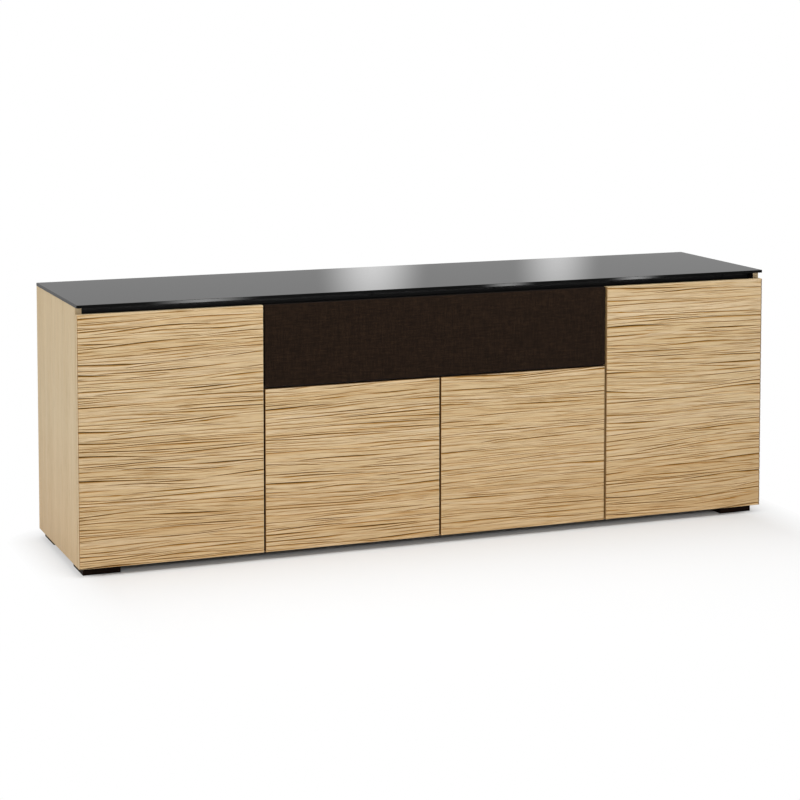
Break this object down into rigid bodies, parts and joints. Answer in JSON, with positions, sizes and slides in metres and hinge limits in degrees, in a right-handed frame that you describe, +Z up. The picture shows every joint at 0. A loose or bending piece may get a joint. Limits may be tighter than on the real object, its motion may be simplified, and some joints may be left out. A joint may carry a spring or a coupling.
{
  "type": "media cabinet",
  "caption": "Long low media cabinet with carved oak doors on concealed hinges, a pull-off speaker cloth panel, a dark glass top and block feet.",
  "frame": {"origin": "on the floor, under the middle of the cabinet's outer box", "axes": "+X to the right of somebody facing the doors, +Y from the doors to the back, +Z up"},
  "size_m": [2.112, 0.509, 0.746],
  "materials": {
    "smoked_glass": "polished glass with a black back coat, as a dark gloss face",
    "clear_plastic": "soft clear pads",
    "black_aluminium": "black anodised",
    "oak_veneer": "light oak veneer, satin lacquer",
    "oak_relief": "light oak with a carved wave relief, satin lacquer",
    "dark_board": "espresso laminate",
    "back_board": "espresso hardboard",
    "espresso_wood": "espresso stain",
    "beech": "raw beech",
    "zinc": "zinc plated",
    "black_zinc": "black zinc plated",
    "nickel": "nickel plated",
    "glide_plastic": "moulded nylon",
    "speaker_cloth": "dark brown open-weave speaker cloth",
    "frame_board": "black-stained board",
    "black_plastic": "moulded",
    "rubber_cup": "moulded"
  },
  "bodies": {
    "case": {"back_board_centre": "back_board", "back_board_left": "back_board", "back_board_right": "back_board", "back_board_speaker": "back_board", "cam_fittings": "zinc", "case_screws": "zinc", "clear_pads": "clear_plastic", "dowels": "beech", "finger_rail": "black_aluminium", "floor_board": "dark_board", "foot_back_left": "espresso_wood", "foot_back_right": "espresso_wood", "foot_centre": "espresso_wood", "foot_front_left": "espresso_wood", "foot_front_right": "espresso_wood", "foot_glides": "glide_plastic", "glass_top": "smoked_glass", "grille_sockets": "rubber_cup", "hinge_arms": "nickel", "hinge_plates": "nickel", "partition_centre": "dark_board", "partition_left": "dark_board", "partition_right": "dark_board", "rail_screws": "black_zinc", "shelf_centre_left": "dark_board", "shelf_centre_right": "dark_board", "shelf_left_lower": "dark_board", "shelf_left_upper": "dark_board", "shelf_pins": "nickel", "shelf_right_lower": "dark_board", "shelf_right_upper": "dark_board", "side_panel_left": "oak_veneer", "side_panel_right": "oak_veneer", "speaker_deck": "dark_board", "top_board": "dark_board", "wood_cleats": "dark_board"},
    "speaker_panel": {"grille_cloth": "speaker_cloth", "grille_frame": "frame_board", "grille_studs": "black_plastic"},
    "door_left": {"door_left": "oak_relief", "door_left_hinge_cups": "nickel", "door_left_cup_screws": "zinc"},
    "door_left_outer_links": {"door_left_outer_links": "nickel"},
    "door_left_inner_links": {"door_left_inner_links": "nickel"},
    "door_centre_left": {"door_centre_left": "oak_relief", "door_centre_left_hinge_cups": "nickel", "door_centre_left_cup_screws": "zinc"},
    "door_centre_left_outer_links": {"door_centre_left_outer_links": "nickel"},
    "door_centre_left_inner_links": {"door_centre_left_inner_links": "nickel"},
    "door_centre_right": {"door_centre_right": "oak_relief", "door_centre_right_hinge_cups": "nickel", "door_centre_right_cup_screws": "zinc"},
    "door_centre_right_outer_links": {"door_centre_right_outer_links": "nickel"},
    "door_centre_right_inner_links": {"door_centre_right_inner_links": "nickel"},
    "door_right": {"door_right": "oak_relief", "door_right_hinge_cups": "nickel", "door_right_cup_screws": "zinc"},
    "door_right_outer_links": {"door_right_outer_links": "nickel"},
    "door_right_inner_links": {"door_right_inner_links": "nickel"}
  },
  "joints": [
    {"name": "door_left_outer_link_turn", "type": "hinge", "parent": "case", "child": "door_left_outer_links", "pos_m": [-1.0175, -0.205, 0.1195], "axis": [0, 0, -1], "range_deg": [-30.5, 0.5]},
    {"name": "door_left_swing", "type": "hinge", "parent": "door_left_outer_links", "child": "door_left", "pos_m": [-1.045, -0.2343, 0.1195], "axis": [0, 0, -1], "range_deg": [0, 120]},
    {"name": "door_left_inner_link_turn", "type": "hinge", "parent": "case", "child": "door_left_inner_links", "pos_m": [-1.0233, -0.2311, 0.1195], "axis": [0, 0, -1], "range_deg": [-50, 0.5]},
    {"name": "door_centre_left_outer_link_turn", "type": "hinge", "parent": "case", "child": "door_centre_left_outer_links", "pos_m": [-0.48875, -0.205, 0.1195], "axis": [0, 0, -1], "range_deg": [-30.5, 0.5]},
    {"name": "door_centre_left_swing", "type": "hinge", "parent": "door_centre_left_outer_links", "child": "door_centre_left", "pos_m": [-0.51625, -0.2343, 0.1195], "axis": [0, 0, -1], "range_deg": [0, 120]},
    {"name": "door_centre_left_inner_link_turn", "type": "hinge", "parent": "case", "child": "door_centre_left_inner_links", "pos_m": [-0.49455, -0.2311, 0.1195], "axis": [0, 0, -1], "range_deg": [-50, 0.5]},
    {"name": "door_centre_right_outer_link_turn", "type": "hinge", "parent": "case", "child": "door_centre_right_outer_links", "pos_m": [0.48875, -0.205, 0.1195], "axis": [0, 0, 1], "range_deg": [-30.5, 0.5]},
    {"name": "door_centre_right_swing", "type": "hinge", "parent": "door_centre_right_outer_links", "child": "door_centre_right", "pos_m": [0.51625, -0.2343, 0.1195], "axis": [0, 0, 1], "range_deg": [0, 120]},
    {"name": "door_centre_right_inner_link_turn", "type": "hinge", "parent": "case", "child": "door_centre_right_inner_links", "pos_m": [0.49455, -0.2311, 0.1195], "axis": [0, 0, 1], "range_deg": [-50, 0.5]},
    {"name": "door_right_outer_link_turn", "type": "hinge", "parent": "case", "child": "door_right_outer_links", "pos_m": [1.0175, -0.205, 0.1195], "axis": [0, 0, 1], "range_deg": [-30.5, 0.5]},
    {"name": "door_right_swing", "type": "hinge", "parent": "door_right_outer_links", "child": "door_right", "pos_m": [1.045, -0.2343, 0.1195], "axis": [0, 0, 1], "range_deg": [0, 120]},
    {"name": "door_right_inner_link_turn", "type": "hinge", "parent": "case", "child": "door_right_inner_links", "pos_m": [1.0233, -0.2311, 0.1195], "axis": [0, 0, 1], "range_deg": [-50, 0.5]},
    {"name": "speaker_panel_pull", "type": "slide", "parent": "case", "child": "speaker_panel", "axis": [0, -1, 0], "range_m": [0, 0.015]}
  ],
  "couplings": [
    {"joint": "door_left_outer_link_turn", "follows": "door_left_swing", "ratio": -0.25},
    {"joint": "door_left_inner_link_turn", "follows": "door_left_swing", "ratio": -0.4125},
    {"joint": "door_centre_left_outer_link_turn", "follows": "door_centre_left_swing", "ratio": -0.25},
    {"joint": "door_centre_left_inner_link_turn", "follows": "door_centre_left_swing", "ratio": -0.4125},
    {"joint": "door_centre_right_outer_link_turn", "follows": "door_centre_right_swing", "ratio": -0.25},
    {"joint": "door_centre_right_inner_link_turn", "follows": "door_centre_right_swing", "ratio": -0.4125},
    {"joint": "door_right_outer_link_turn", "follows": "door_right_swing", "ratio": -0.25},
    {"joint": "door_right_inner_link_turn", "follows": "door_right_swing", "ratio": -0.4125}
  ]
}
